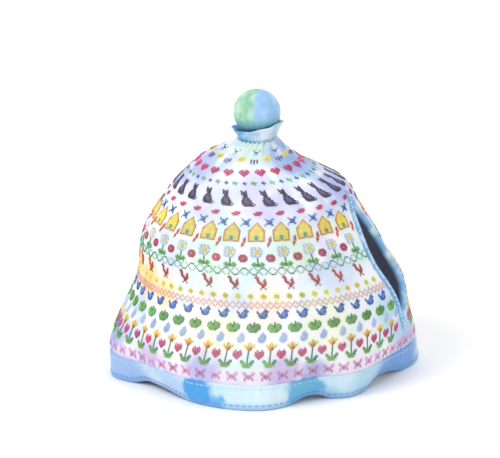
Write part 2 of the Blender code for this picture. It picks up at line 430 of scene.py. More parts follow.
# The embroidered rows from the hem up, each at the height of its middle. Turn shifts a
# row by a share of a repeat, tone is how far its floss varies, and joined rows fill
# their repeats exactly.
Row = namedtuple("Row", "chart height repeats turn tone group joined")
EMBROIDERED_ROWS = tuple(Row(*values) for values in (
    ("butterfly", 22.6, 56, 0.5, 0.16, "hem", False),
    ("tulip", 35.6, 42, 0.0, 0.14, "hem", False),
    ("small_heart", 36.0, 42, 0.5, 0.12, "hem", False),
    ("drop", 46.4, 42, 0.5, 0.14, "hem", False),
    ("apple", 52.7, 42, 0.0, 0.24, "hem", False),
    ("bluebird", 60.8, 42, 0.4, 0.14, "middle", False),
    ("coral_chain", 66.0, 65, 0.0, 0.12, "middle", True),
    ("dot", 71.2, 62, 0.3, 0.18, "middle", False),
    ("redbird", 79.6, 28, 0.1, 0.14, "middle", False),
    ("vine", 86.3, 40, 0.0, 0.14, "middle", True),
    ("daisy", 94.9, 26, 0.0, 0.08, "middle", False),
    ("rose", 94.0, 26, 0.5, 0.12, "middle", False),
    ("house", 109.0, 26, 0.0, 0.08, "shoulder", False),
    ("post", 103.4, 26, 0.5, 0.12, "shoulder", False),
    ("cross", 114.6, 26, 0.5, 0.14, "shoulder", False),
    ("dash", 119.6, 26, 0.0, 0.12, "shoulder", False),
    ("cat", 127.3, 24, 0.5, 0.14, "shoulder", False),
    ("green_bud", 134.2, 21, 0.0, 0.20, "shoulder", False),
    ("blue_bud", 134.2, 21, 0.5, 0.20, "shoulder", False),
    ("heart", 138.9, 20, 0.5, 0.12, "shoulder", False),
    ("gold_bud", 145.6, 9, 0.0, 0.14, "shoulder", False),
    ("violet_pair", 144.4, 9, 0.5, 0.16, "shoulder", False),
    ("sprig", 148.8, 9, 0.5, 0.16, "shoulder", False),
))

# Soft pools of dye on the panels and on the border, the same in front and behind; some are partly
# painted shade, and one is a painted highlight, as marked below.
# degrees, height, radius, colour, strength, share of the radius at full strength
PANEL_POOLS = (
    # Partly painted shade: lavender and blue towards the side edges, at the shoulders.
    (-60.0, 137.0, 30.0, "#A3AEE0", 0.85, 0.35),
    (78.0, 142.0, 24.0, "#86A6DA", 0.85, 0.35),
    (88.0, 126.0, 24.0, "#98A9DE", 0.75, 0.35),
    (-32.0, 146.0, 17.0, "#B4C6E4", 0.7, 0.35),
    (48.0, 148.0, 14.0, "#9DB6E0", 0.7, 0.35),
    (5.0, 151.0, 15.0, "#CDE7DA", 0.85, 0.35),
    (22.0, 129.0, 30.0, "#C6C3E8", 0.7, 0.35),
    (-20.0, 126.0, 22.0, "#C9CFEC", 0.6, 0.35),
    (-10.0, 92.0, 27.0, "#CFEBDA", 0.75, 0.35),
    (34.0, 98.0, 20.0, "#CBE6CF", 0.75, 0.35),
    (52.0, 82.0, 24.0, "#C9D3EE", 0.7, 0.35),
    (-70.0, 73.0, 17.0, "#F6C561", 0.9, 0.35),
    (-54.0, 70.0, 19.0, "#F9CD78", 0.9, 0.35),
    (-38.0, 66.5, 16.0, "#FBDFA0", 0.8, 0.35),
    (15.0, 67.0, 20.0, "#FBE6D2", 0.7, 0.35),
    (-8.0, 50.0, 26.0, "#FAF6D6", 0.75, 0.35),
    (40.0, 52.0, 24.0, "#F3F6D4", 0.7, 0.35),
    (-56.0, 48.0, 20.0, "#B6D1EE", 0.75, 0.35),
    # Partly painted shade: deep blue low at the left side edge.
    (-70.0, 27.0, 24.0, "#6F95DA", 0.9, 0.35),
    (-36.0, 22.0, 22.0, "#C3B2E4", 0.8, 0.35),
    (-9.0, 26.0, 17.0, "#ADA9E2", 0.8, 0.35),
    (23.0, 24.0, 16.0, "#C0AEDF", 0.8, 0.35),
    (36.0, 20.0, 13.0, "#9FA0DA", 0.8, 0.35),
    # Partly painted shade: blue low at the right side edge; the pool at 80 degrees is also a
    # painted shadow cast by a teapot's handle.
    (90.0, 24.0, 25.0, "#9DB8E6", 0.65, 0.35),
    (80.0, 47.0, 27.0, "#A3CBE4", 0.65, 0.35),
)
BORDER_POOLS = (
    # Partly painted shade: deeper blue towards the border's left end.
    (-62.0, 8.0, 50.0, "#8DACE2", 0.85, 0.35),
    (-26.0, 10.0, 20.0, "#A5C4EE", 0.75, 0.35),
    (62.0, 6.0, 18.0, "#9BCBE2", 0.7, 0.35),
    # Partly painted shade: deeper blue at the border's right end.
    (90.0, 8.0, 42.0, "#6696DA", 0.9, 0.4),
    # Painted highlight: ice white across the border's front.
    (12.0, 9.0, 30.0, "#D3E9F3", 0.85, 0.5),
    (-12.0, 8.0, 15.0, "#4A9FE0", 1.0, 0.6),
    (-3.0, 3.0, 8.0, "#5AA8E4", 0.9, 0.5),
    (31.5, 9.0, 17.0, "#62AFD6", 0.95, 0.6),
)
POOL_EDGE_SIZE = 9.0  # how coarse and how deep the edges of the dye pools wander
POOL_EDGE_DEPTH = 6.0

SEED = 20
CROSS_SIZES = (0.94, 1.06)  # least and greatest share of a stitch's size, worked by hand
SEWN_SIZES = (0.92, 1.08)
STITCH_SPAN = 0.92  # share of its pitch that a cross spans
STITCH_LIE = 0.02  # how far a thread's middle line lies above the cloth
BORDER_THREAD_SUNK = 0.08  # how far it is pulled into the border
END_SUNK = 0.25  # how far a stitch's ends lie under it, as a share of its thickness
CROWN = 0.55  # how far a stitch's middle stands up, as a share of its thickness
CROSS_SIDES, BAR_SIDES = 3, 6  # a cross has few faces, because there are thousands
CROSS_GIRTH = 0.58  # a three-sided thread's radius, for the same width as a round one's
SECTION_TURN = -math.pi / 2.0  # a three-sided thread lies on its flat side
ROW_STRIDE = 10000  # sets the motifs' numbers of one row apart from the next row's
SEAM_MARGIN = 1.4  # no stitch lies nearer to a panel's sewn edge
SEWING_THREAD = 1.15  # its thickness, as a share of the floss's
SEAM_STITCH = 0.6  # the side seams' and the gathers' stitches, as shares of a running stitch
GATHER_STITCH = 0.62
SEAM_STEP = 2.5  # from one whip stitch to the next
SEAM_ENDS = (1.6, 1.5, 1.8)  # bare cloth between a side seam's stitches and border, slit and neck
# The running stitches around the border: name, rise above the hem, stitches, thread colour
RUNNING_STITCHES = (
    ("border_top_stitching", 14.4, 158, "#BFDDF2"),
    ("hem_stitching", 3.4, 150, "#5E93D0"),
)

FLOOR_RADIUS = 12000.0  # every view's camera stands over it
LIGHT_TARGET = (0.0, 0.0, 0.08)
# The lamps, in metres and watts: name, place, size, power
LIGHTS = (
    ("key", (-0.7, -0.9, 1.1), 0.9, 11.0),
    ("fill", (1.1, -0.7, 0.6), 1.0, 3.0),
    ("top", (0.1, 0.5, 1.4), 1.0, 5.0),
)
WORLD_STRENGTH = 0.75
CAMERA_AZIMUTH = 15.0  # towards the right slit
CAMERA_ELEVATION = 16.0
CAMERA_ROLL = 0.8
CAMERA_LENS = 800.0  # long, because the picture shows hardly any perspective
IMAGE_WIDTH, IMAGE_HEIGHT = 500, 458
MM_PER_PIXEL = 0.65
BASE_PIXEL = (264.0, 366.0)  # where the middle of the hem lies in the picture

# Columns and rows of the finished cloth
PANEL_COLUMNS = 140
ROWS_UNDER_SLIT = 10
ROWS_AT_SLIT = 40
ROWS_OVER_SLIT = 30
BORDER_COLUMNS = 420
COLLAR_COLUMNS = 252
BINDING_STEPS = 150
BOBBLE_COLUMNS = 168
BOBBLE_ROWS = 60
NECK_CROWDING = 1.5  # over 1, the rows over a slit lie closer towards the neck
EDGE_STEPS = (0.0, 0.35, 0.9, 1.8)  # rows and columns drawn together at an edge
PLAIN_SPACING = 0.8  # between the plain cottons' threads, coarser than most, so that they show
PLAIN_BUMP, EVENWEAVE_BUMP = 0.12, 0.16
THREAD_LIFT = 0.3  # how much a thread rises over the next, as a share of its height
FUZZ_PER_MM = 1.4  # tufts of loose fibre to a millimetre, and their share of the threads' height
FUZZ_SHARE = 0.35
STRANDS_PER_MM = 2.6  # a sewing or embroidery thread's strands, as coarse as they need to show
READ_STEP = 0.5  # degrees, or millimetres of height, to either side of a direction's point


def linear(hex_colour):
    """A linear colour from an sRGB hex value."""
    values = [int(hex_colour[i:i + 2], 16) / 255.0 for i in (1, 3, 5)]
    return tuple(
        v / 12.92 if v <= 0.04045 else ((v + 0.055) / 1.055) ** 2.4 for v in values
    )


def eased(share):
    """A share from 0 to 1 that starts and ends level."""
    return share * share * (3.0 - 2.0 * share)


def near(distance, reach):
    """A share that is 1 at a place and dies away softly around it."""
    return np.exp(-((distance / reach) ** 2))


def waves(degrees, count, drift, bends):
    """Waves around the cosy, from -1 to 1, as unevenly wide as gathers are."""
    angle = np.radians(degrees)
    return np.cos(count * angle + drift * np.sin(bends * angle))


def full_turn(steps, closed=False):
    """Even steps around the cosy in degrees, with the first one again as 360 if closed."""
    return np.linspace(0.0, 360.0, steps + closed, endpoint=closed)


def turn_from(start, degrees):
    """The shorter way around from one angle to another."""
    return (degrees - start + 180.0) % 360.0 - 180.0


def read_smoothly(table, at, column):
    """A smooth curve through one column of a table, over its first one."""
    rows = np.asarray(table, dtype=float)
    places, values = rows[:, 0], rows[:, column]
    before = np.r_[0, np.arange(len(rows) - 1)]
    after = np.r_[np.arange(1, len(rows)), len(rows) - 1]
    slopes = (values[after] - values[before]) / (places[after] - places[before])
    low = np.clip(np.searchsorted(places, at, side="right") - 1, 0, len(rows) - 2)
    step = places[low + 1] - places[low]
    t = (at - places[low]) / step
    return (
        (1 + 2 * t) * (1 - t) ** 2 * values[low] + t * (1 - t) ** 2 * step * slopes[low]
        + t * t * (3 - 2 * t) * values[low + 1] + t * t * (t - 1) * step * slopes[low + 1]
    )


def flute(degrees):
    """The hem's radius at an angle, and how far it is lifted there."""
    closed = np.asarray(FLUTES + ((FLUTES[0][0] + 360.0, *FLUTES[0][1:]),))
    around = (degrees - FLUTES[0][0]) % 360.0 + FLUTES[0][0]
    low = np.clip(np.searchsorted(closed[:, 0], around, side="right") - 1, 0, len(FLUTES) - 1)
    share = eased((around - closed[low, 0]) / (closed[low + 1, 0] - closed[low, 0]))
    radius = closed[low, 1] + share * (closed[low + 1, 1] - closed[low, 1])
    lifts = closed[low, 2], closed[low + 1, 2]
    folded = np.where(lifts[1] > lifts[0], share, 1.0 - share)
    return radius, np.maximum(*lifts) * eased(np.maximum(0.0, 2.0 * folded - 1.0))


def on_circle(radius, degrees, height, lean):
    """Points at a radius around the cosy's leaning centre line."""
    angle = np.radians(degrees)
    return np.stack(
        np.broadcast_arrays(lean + radius * np.sin(angle), -radius * np.cos(angle), height), -1
    )


def radius_at(height):
    return read_smoothly(BELL, height, 1)


def bell(degrees, height):
    """Points on the solids' outer face."""
    fade = np.maximum(0.0, 1.0 - height / FLUTES_END) ** FLUTES_FADE
    radius = radius_at(height) + fade * (flute(degrees)[0] - BELL[0][1])
    return on_circle(radius, degrees, height, read_smoothly(BELL, height, 2))


def collar(degrees, share):
    """Points on the collar's outer face, from its foot (0) to its rim (1)."""
    angle = np.radians(degrees)
    rim = COLLAR_RIM - COLLAR_TIPS * np.cos(2.0 * angle) + COLLAR_TILT * np.sin(angle)
    ruffle = RUFFLE_DEPTH * share * waves(degrees, *COLLAR_RUFFLES)
    flare = COLLAR_FLARE - COLLAR_SPREAD * np.cos(2.0 * angle)
    radius = NECK_RADIUS + flare * share * np.abs(share) + ruffle
    return on_circle(radius, degrees, COLLAR_FOOT + share * (rim - COLLAR_FOOT), NECK_LEAN)


def unit(vectors):
    return vectors / np.linalg.norm(vectors, axis=-1, keepdims=True)


def directions(surface, degrees, height, reach=READ_STEP):
    """A surface's directions around and outwards."""
    around = surface(degrees + READ_STEP, height) - surface(degrees - READ_STEP, height)
    up = surface(degrees, height + reach) - surface(degrees, height - reach)
    return unit(around), unit(np.cross(around, up))


def raised(degrees, height, proud):
    """Points on the solids' outer face, moved outwards by a distance."""
    outwards = directions(bell, degrees, height)[1]
    return bell(degrees, height) + np.asarray(proud)[..., None] * outwards


# Length up the cloth from the border's seam, at each height
CLIMB_HEIGHTS = np.linspace(BORDER_TOP, NECK_TOP, 500)
CLIMB_LENGTHS = np.r_[0.0, np.cumsum(np.hypot(
    np.diff(CLIMB_HEIGHTS), np.diff(radius_at(CLIMB_HEIGHTS))))]


def climb(height):
    return np.interp(height, CLIMB_HEIGHTS, CLIMB_LENGTHS)


def height_after(length):
    return np.interp(length, CLIMB_LENGTHS, CLIMB_HEIGHTS)


def slit_reach(slit, offset):
    """Middle height and half the height of a slit's outline, widened by an offset."""
    reach = (slit.highest - slit.lowest) / 2.0 + POINT_REACH * offset
    return (slit.lowest + slit.highest) / 2.0, reach


def slit_edge(slit, share, offset):
    """Height and half width of a slit's widened outline, from its foot (-1) to its top (1)."""
    middle, reach = slit_reach(slit, offset)
    return middle + reach * share, (slit.half_width + offset) * np.cos(share * math.pi / 2.0)


def slit_side(slit, steps, count, offset):
    """Degrees and heights around a slit's widened outline, at steps of a count."""
    share = 1.0 - 2.0 * np.abs(steps - count / 2.0) / (count / 2.0)
    side = np.where(steps < count / 2.0, 1.0, -1.0)
    height, half_width = slit_edge(slit, share, offset)
    return slit.degrees + side * np.degrees(half_width / radius_at(height)), height


def from_seams(degrees, height):
    """Distance along the cloth from a panel's nearest side edge."""
    nearest = np.inf
    for slit in SLITS:
        middle, reach = slit_reach(slit, BINDING_WIDTH - SEAM_LAP)
        share = np.clip((height - middle) / reach, -1.0, 1.0)
        room = slit_edge(slit, share, BINDING_WIDTH - SEAM_LAP)[1]
        turn = np.radians(np.abs(turn_from(slit.degrees, degrees)))
        nearest = np.minimum(nearest, turn * radius_at(height) - room)
    return nearest


def drawn_in(distance):
    """How deep the cloth is drawn in beside a sewn edge."""
    return SEAM_DIP * near(np.maximum(distance, 0.0), SEAM_SOFT)


def relief(degrees, height):
    """How far the panels' cloth stands proud of the solids: seams, puckers, gathers, creases."""
    aside, rise, length = from_seams(degrees, height), height - BORDER_TOP, climb(height)
    left = CLIMB_LENGTHS[-1] - length
    proud = -drawn_in(aside) - drawn_in(rise) - NECK_DIP * drawn_in(left)
    pucker = np.cos(2.0 * math.pi * length / PUCKER_STEP)
    for depth, close, wave in (
        (PUCKER_DEPTH, near(aside, PUCKER_REACH), pucker),
        (PUCKER_DEPTH, near(rise, PUCKER_REACH), waves(degrees, *HEM_PUCKERS)),
        (NECK_GATHER_DEPTH, near(left, NECK_GATHER_REACH), waves(degrees, *NECK_GATHERS)),
    ):
        proud = proud + depth * close * wave
    for at, high, tilt, half_length, half_width, depth in CREASES:
        x = np.radians(turn_from(at, degrees)) * radius_at(height)
        y = length - climb(high)
        lean = math.radians(tilt)
        along = x * math.sin(lean) + y * math.cos(lean)
        across = x * math.cos(lean) - y * math.sin(lean)
        proud = proud - depth * np.exp(-((along / half_length) ** 2) - (across / half_width) ** 2)
    return proud


def cloth_point(degrees, height, proud=0.0):
    """A point on the panels' finished face, raised by a distance."""
    return raised(degrees, height, relief(degrees, height) + proud)


def new_object(name, vertices, faces, materials):
    """A mesh object at the origin, from points in millimetres."""
    mesh = bpy.data.meshes.new(name)
    mesh.from_pydata((np.asarray(vertices) * MM).tolist(), [], faces)
    for material in materials:
        mesh.materials.append(material)
    made = bpy.data.objects.new(name, mesh)
    bpy.context.scene.collection.objects.link(made)
    return made


def loft(name, points, lengths, materials, closed=True, strip=False, slots=None):
    """A closed skin over rings of points, each ring a loop itself.

    Points are [ring][corner]; lengths are the cloth's own measures, along and
    across, with one more ring where the rings close and one more corner. With a
    strip, a ring's first half lies over its second half and the end rings are
    sewn up between the two. Slots give the material of the faces at each corner.
    """
    rings, corners = points.shape[:2]
    faces, places, wears = [], [], []
    for ring in range(rings if closed else rings - 1):
        for corner in range(corners):
            square = [(ring, corner), (ring, corner + 1), (ring + 1, corner + 1),
                      (ring + 1, corner)]
            faces.append([(r % rings) * corners + c % corners for r, c in square])
            places.extend(lengths[r, c] for r, c in square)
            wears.append(0 if slots is None else slots[corner])
    if not closed:
        for ring, turned in ((0, True), (rings - 1, False)):
            if strip:
                half = corners // 2
                squares = [[c, c + 1, corners - 2 - c, corners - 1 - c] for c in range(half - 1)]
            else:
                squares = [list(range(corners))]
            for square in squares:
                square = square[::-1] if turned else square
                faces.append([ring * corners + c for c in square])
                places.extend(lengths[ring, c] for c in square)
                wears.append(0)
    made = new_object(name, points.reshape(-1, 3), faces, materials)
    mesh = made.data
    mesh.uv_layers.new(name="cloth").data.foreach_set("uv", np.ravel(places).tolist())
    mesh.polygons.foreach_set("material_index", wears)
    mesh.shade_smooth()
    mesh.update()
    return made


def across_panel(width):
    """Shares of a row's width at a panel's columns, drawn together at both ends."""
    edge = np.asarray(EDGE_STEPS) / width
    inner = np.linspace(edge[-1], 1.0 - edge[-1], PANEL_COLUMNS - 2 * len(edge) + 2)
    return np.r_[edge, inner[1:-1], 1.0 - edge[::-1]]


def measured(along, across):
    """The cloth's own measures at every ring and corner of a grid."""
    return np.stack(np.broadcast_arrays(along[:, None], across[None, :]), -1)


def mirrored(section, wall):
    """A section's points on the inner face, in turned order."""
    return [(place, wall - depth) for place, depth in section[::-1]]


def side_rows(slit):
    """Height and distance from the seam of each row of a panel's side edge."""
    room = BINDING_WIDTH - SEAM_LAP
    low = slit_edge(slit, -1.0, room)[0]
    high = slit_edge(slit, 1.0, room)[0]
    bottom = BORDER_EDGE - SEAM_LAP
    steps = np.asarray(EDGE_STEPS)
    under = np.r_[bottom + steps, np.linspace(bottom + steps[-1], low, ROWS_UNDER_SLIT)[1:-1]]
    beside = slit_edge(slit, np.linspace(-1.0, 1.0, ROWS_AT_SLIT + 1), room)
    share = 1.0 - (1.0 - np.arange(1, ROWS_OVER_SLIT + 1) / ROWS_OVER_SLIT) ** NECK_CROWDING
    over = high + (NECK_TOP - high) * share
    return np.r_[under, beside[0], over], np.r_[0.0 * under, beside[1], 0.0 * over]


def make_panel(name, start, end, materials):
    """One embroidered panel's cloth, outer and inner face, between its side edges."""
    turn = (end.degrees - start.degrees) % 360.0
    rings, lengths = [], []
    for low, low_room, high, high_room in zip(*side_rows(start), *side_rows(end)):
        first = start.degrees + math.degrees(low_room / radius_at(low))
        last = start.degrees + turn - math.degrees(high_room / radius_at(high))
        width = math.radians(last - first) * radius_at((low + high) / 2.0)
        share = across_panel(width)
        degrees = first + (last - first) * share
        height = low + (high - low) * eased(share)
        proud = relief(degrees, height)
        inner = raised(degrees, height, -(CLOTH + 0.5 * proud))
        rings.append(np.concatenate([raised(degrees, height, proud), inner[::-1]]))
        across = np.radians(degrees - start.degrees - turn / 2.0) * radius_at(height)
        both = np.stack([across, climb(height)], -1)
        lengths.append(np.concatenate([both, both[::-1], both[:1]]))
    return loft(name, np.array(rings), np.array(lengths), materials,
                closed=False, strip=True, slots=[0] * PANEL_COLUMNS + [1] * PANEL_COLUMNS)


def length_property(name, description, default):
    return bpy.props.FloatProperty(
        name=name, description=description, default=default, min=0.0001, unit="LENGTH")


def colour_property(name, description, value):
    return bpy.props.FloatVectorProperty(
        name=name, description=description, default=linear(value), size=3, subtype="COLOR")


class CosySizes(bpy.types.PropertyGroup):
    stitch_pitch: length_property(
        "Stitch Pitch", "Width of one cross-stitch of the charts", 0.001)
    floss_thickness: length_property(
        "Floss Thickness", "Thickness of the stranded cotton in a stitch", 0.00042)
    sewing_stitch: length_property(
        "Sewing Stitch", "Length of a running stitch on the border", 0.0026)
    weave_spacing: length_property(
        "Weave Spacing", "Distance between the evenweave's thread groups", 0.001)


class CosyColours(bpy.types.PropertyGroup):
    ground: colour_property("Ground", "The embroidered cotton's own white", "#EDEFF4")
    lavender: colour_property(
        "Lavender Wash", "Soft dye towards the edges and the shoulders", "#C2C6EA")
    ice: colour_property("Ice Wash", "Faint blue-green dye over the ground", "#D6EAEE")
    border: colour_property("Border", "Pale ice blue of the hem border", "#D3EAF4")
    border_deep: colour_property(
        "Border Deep", "Deeper blue where the border's dye has pooled", "#A2CBEE")
    binding: colour_property("Binding", "Light blue of the slits' bindings", "#7DB4E2")
    # Painted shade: the blue on the collar's left side.
    collar: colour_property("Collar", "Blue end of the collar's dye", "#62A7DC")
    bobble_green: colour_property("Bobble Green", "Green side of the bobble", "#7EBA9D")
    bobble_blue: colour_property("Bobble Blue", "Blue side of the bobble", "#8EBAE3")
    # Painted shade: the dark teal under the bobble and in the neck.
    bobble_under_shade: colour_property("Bobble Teal", "Underside of the bobble", "#3F84A6")


def add_node(tree, kind, inputs=None, **settings):
    """Add a node with its settings, values and links. A node stands for its first output."""
    made = tree.nodes.new(kind)
    for name, value in settings.items():
        setattr(made, name, value)
    for key, value in (inputs or {}).items():
        if isinstance(value, bpy.types.Node):
            value = value.outputs[0]
        if isinstance(value, bpy.types.NodeSocket):
            tree.links.new(value, made.inputs[key])
        else:
            made.inputs[key].default_value = value
    return made


def new_material(name, finish):
    """A material with the sockets of its shader set."""
    material = bpy.data.materials.new(name)
    material.use_nodes = True
    for socket, value in finish.items():
        material.node_tree.nodes["Principled BSDF"].inputs[socket].default_value = value
    return material


def cover(tree, colour, shade, relief_height, strength, depth_mm):
    """Give a material's shader its colour, darkened by a painted shade, and its relief."""
    shader = tree.nodes["Principled BSDF"]
    shaded = add_node(tree, "ShaderNodeVectorMath", {0: colour, "Scale": shade}, operation="SCALE")
    bump = add_node(tree, "ShaderNodeBump", {
        "Height": relief_height, "Strength": strength, "Distance": depth_mm * MM})
    tree.links.new(shaded.outputs[0], shader.inputs["Base Color"])
    tree.links.new(bump.outputs[0], shader.inputs["Normal"])


def woven(name, paint, roughness, sheen, spacing=PLAIN_SPACING, bump_mm=PLAIN_BUMP):
    """Woven cotton: paint(tree, place) gives its colour, and its threads follow the UV map.

    Where one thread passes over another it keeps its full colour, and where it dips under, painted
    shade darkens it; short loose fibres roughen both.
    """
    material = new_material(name, {
        "Roughness": roughness, "Sheen Weight": sheen, "Sheen Roughness": 0.5,
        "Specular IOR Level": 0.25})
    tree = material.node_tree
    cloth = add_node(tree, "ShaderNodeUVMap", uv_map="cloth")
    split = add_node(tree, "ShaderNodeSeparateXYZ", {"Vector": cloth})
    threads = []
    for axis in ("X", "Y"):
        turn = add_node(tree, "ShaderNodeMath", {0: split.outputs[axis], 1: math.pi / spacing},
                        operation="MULTIPLY")
        threads.append(add_node(tree, "ShaderNodeMath", {0: turn}, operation="SINE"))
    over = add_node(tree, "ShaderNodeMath", {0: threads[0], 1: threads[1]}, operation="MULTIPLY")
    heights = []
    for thread, lifted in zip(threads, (THREAD_LIFT, -THREAD_LIFT)):
        size = add_node(tree, "ShaderNodeMath", {0: thread}, operation="ABSOLUTE")
        lift = add_node(tree, "ShaderNodeMath", {0: over, 1: lifted, 2: 1.0 - THREAD_LIFT},
                        operation="MULTIPLY_ADD")
        heights.append(add_node(tree, "ShaderNodeMath", {0: size, 1: lift}, operation="MULTIPLY"))
    weave = add_node(tree, "ShaderNodeMath", {0: heights[0], 1: heights[1]}, operation="MAXIMUM")
    place = add_node(tree, "ShaderNodeTexCoord").outputs["Object"]
    fuzz = add_node(tree, "ShaderNodeTexNoise", {
        "Vector": place, "Scale": FUZZ_PER_MM / MM, "Detail": 2.0})
    height = add_node(tree, "ShaderNodeMath", {0: fuzz, 1: FUZZ_SHARE, 2: weave},
                      operation="MULTIPLY_ADD")
    # Painted shade: the colour is darkened where a thread dips under the next.
    shade = add_node(tree, "ShaderNodeMapRange", {
        "Value": weave, "From Min": 0.2, "From Max": 0.9, "To Min": 0.86, "To Max": 1.0})
    cover(tree, paint(tree, place), shade, height, 0.7, bump_mm)
    return material


def laid_over(tree, colour, dye, share):
    """A dye laid over a colour by a share; each is a socket, a property or a hex value."""
    mix = add_node(tree, "ShaderNodeMix", {0: share}, data_type="RGBA")
    for key, value in ((6, colour), (7, dye)):
        if isinstance(value, bpy.types.NodeSocket):
            tree.links.new(value, mix.inputs[key])
        else:
            value = linear(value) if isinstance(value, str) else value
            mix.inputs[key].default_value = (*value, 1.0)
    return mix.outputs[2]


def washed(tree, place, colour, dye, size_mm, low, high, offset=0.0):
    """A colour with a dye over it in soft patches of a size.

    A patch begins where a noise is low and is full where it is high; an offset
    takes another piece of the noise.
    """
    moved = add_node(tree, "ShaderNodeMapping", {
        "Vector": place, "Location": (offset, 0.0, offset)})
    patches = add_node(tree, "ShaderNodeTexNoise", {
        "Vector": moved, "Scale": 1.0 / (size_mm * MM), "Detail": 1.6})
    share = add_node(tree, "ShaderNodeMapRange", {
        "Value": patches, "From Min": low, "From Max": high}, interpolation_type="SMOOTHSTEP")
    return laid_over(tree, colour, dye, share)


def pooled(tree, place, colour, pools):
    """A colour with soft, ragged pools in it, of dye and partly of painted shade and highlight,
    the same in front and behind.
    """
    ragged = add_node(tree, "ShaderNodeTexNoise", {
        "Vector": place, "Scale": 1.0 / (POOL_EDGE_SIZE * MM), "Detail": 3.0})
    depth = POOL_EDGE_DEPTH * MM
    shift = add_node(tree, "ShaderNodeVectorMath", {
        0: ragged.outputs["Color"], 1: (2.0 * depth,) * 3, 2: place}, operation="MULTIPLY_ADD")
    moved = add_node(tree, "ShaderNodeVectorMath", {0: shift, 1: (depth,) * 3},
                     operation="SUBTRACT")
    split = add_node(tree, "ShaderNodeSeparateXYZ", {"Vector": moved})
    to_back = add_node(tree, "ShaderNodeMath", {0: split.outputs["Y"]}, operation="ABSOLUTE")
    folded = add_node(tree, "ShaderNodeCombineXYZ", {
        "X": split.outputs["X"], "Y": to_back, "Z": split.outputs["Z"]})
    for degrees, height, radius, dye, strength, heart in pools:
        centre = bell(degrees, height) * (MM, -MM, MM)
        away = add_node(tree, "ShaderNodeVectorMath", {0: folded, 1: tuple(centre)},
                        operation="DISTANCE")
        share = add_node(tree, "ShaderNodeMapRange", {
            "Value": away.outputs["Value"], "From Min": radius * MM,
            "From Max": heart * radius * MM, "To Max": strength},
            interpolation_type="SMOOTHSTEP")
        colour = laid_over(tree, colour, dye, share)
    return colour


def faded(tree, place, colour, dye, axis, start, end, most=1.0):
    """A colour that fades into a dye between two places along an axis."""
    split = add_node(tree, "ShaderNodeSeparateXYZ", {"Vector": place})
    share = add_node(tree, "ShaderNodeMapRange", {
        "Value": split.outputs[axis], "From Min": start, "From Max": end, "To Max": most},
        interpolation_type="SMOOTHSTEP")
    return laid_over(tree, colour, dye, share)


def evenweave_cotton(sizes, colours, inside=False):
    """Evenweave cotton, hand-dyed: matt and open, so its threads and its pale pools show, some of
    the pools partly painted shade.
    """
    def paint(tree, place):
        colour = washed(tree, place, colours.ground, colours.ice, 26.0, 0.42, 0.68)
        colour = washed(tree, place, colour, colours.lavender, 30.0, 0.48, 0.78, 0.3)
        # The inner face is the cloth's wrong side, laid over with a pale lavender-blue that is
        # partly painted shade, for the blue shade seen inside.
        if inside:
            return laid_over(tree, colour, "#E2E6FF", 0.85)
        colour = faded(tree, place, colour, "#EBD3EC", "Z", 0.031, 0.020, 0.6)
        colour = pooled(tree, place, colour, PANEL_POOLS)
        return washed(tree, place, colour, "#F4F5F8", 15.0, 0.5, 0.8, 0.7)
    name = "evenweave_cotton_inside" if inside else "evenweave_cotton_washed"
    return woven(name, paint, 0.88, 0.15, sizes.weave_spacing / MM, EVENWEAVE_BUMP)


def border_cotton(colours):
    """Plain cotton, dip-dyed as a strip: matt, its blue uneven and deeper along the hem, with
    painted shade at its ends and a painted highlight at its front.
    """
    def paint(tree, place):
        colour = washed(tree, place, colours.border, colours.border_deep, 26.0, 0.5, 0.72)
        colour = washed(tree, place, colour, "#E4F2FB", 18.2, 0.45, 0.85, 0.9)
        colour = pooled(tree, place, colour, BORDER_POOLS)
        cloth = add_node(tree, "ShaderNodeUVMap", uv_map="cloth")
        return faded(tree, cloth, colour, "#6BA6DE", "Y", 4.5, 0.5, 0.6)
    return woven("plain_cotton_hand_dyed_blue", paint, 0.82, 0.2)


def binding_cotton(colours):
    """Plain cotton, folded over an edge: matt light blue with small pale patches."""
    def paint(tree, place):
        colour = washed(tree, place, colours.binding, "#A9D0EE", 12.0, 0.45, 0.7)
        return washed(tree, place, colour, "#E4F2FB", 8.4, 0.45, 0.85, 0.9)
    return woven("plain_cotton_bias_binding", paint, 0.82, 0.2)


def collar_cotton(colours):
    """Plain cotton, matt, running from blue at the left to near white: the blue is painted shade,
    and teal patches of painted shade lie over the white.
    """
    def paint(tree, place):
        # Painted shade: blue on the collar's left fading to near white on the right, with teal
        # patches over the white.
        white = washed(tree, place, "#DCE9F4", "#A3C8DC", 9.0, 0.45, 0.75)
        blue = washed(tree, place, colours.collar, "#A6CDF0", 9.0, 0.45, 0.7)
        return faded(tree, place, blue, white, "X", -0.010, 0.005)
    return woven("plain_cotton_collar", paint, 0.82, 0.2)


def bobble_cotton(colours):
    """Plain cotton, dyed in two and stretched over stuffing: smoother, with painted shade that
    darkens it underneath.
    """
    def paint(tree, place):
        green = washed(tree, place, colours.bobble_green, "#B9DEC6", 9.0, 0.35, 0.75)
        blue = washed(tree, place, colours.bobble_blue, "#AFD0F2", 9.0, 0.35, 0.75, 0.4)
        both = faded(tree, place, green, blue, "X", -0.003, 0.0012)
        # Painted shade: a teal band, then the dark teal underside, stand in for the shade under
        # the ball and in the neck.
        both = faded(tree, place, both, "#76B5AC", "Z", 0.172, 0.165, 0.75)
        return faded(tree, place, both, colours.bobble_under_shade, "Z", 0.170, 0.1605)
    return woven("plain_cotton_over_stuffing", paint, 0.78, 0.25)


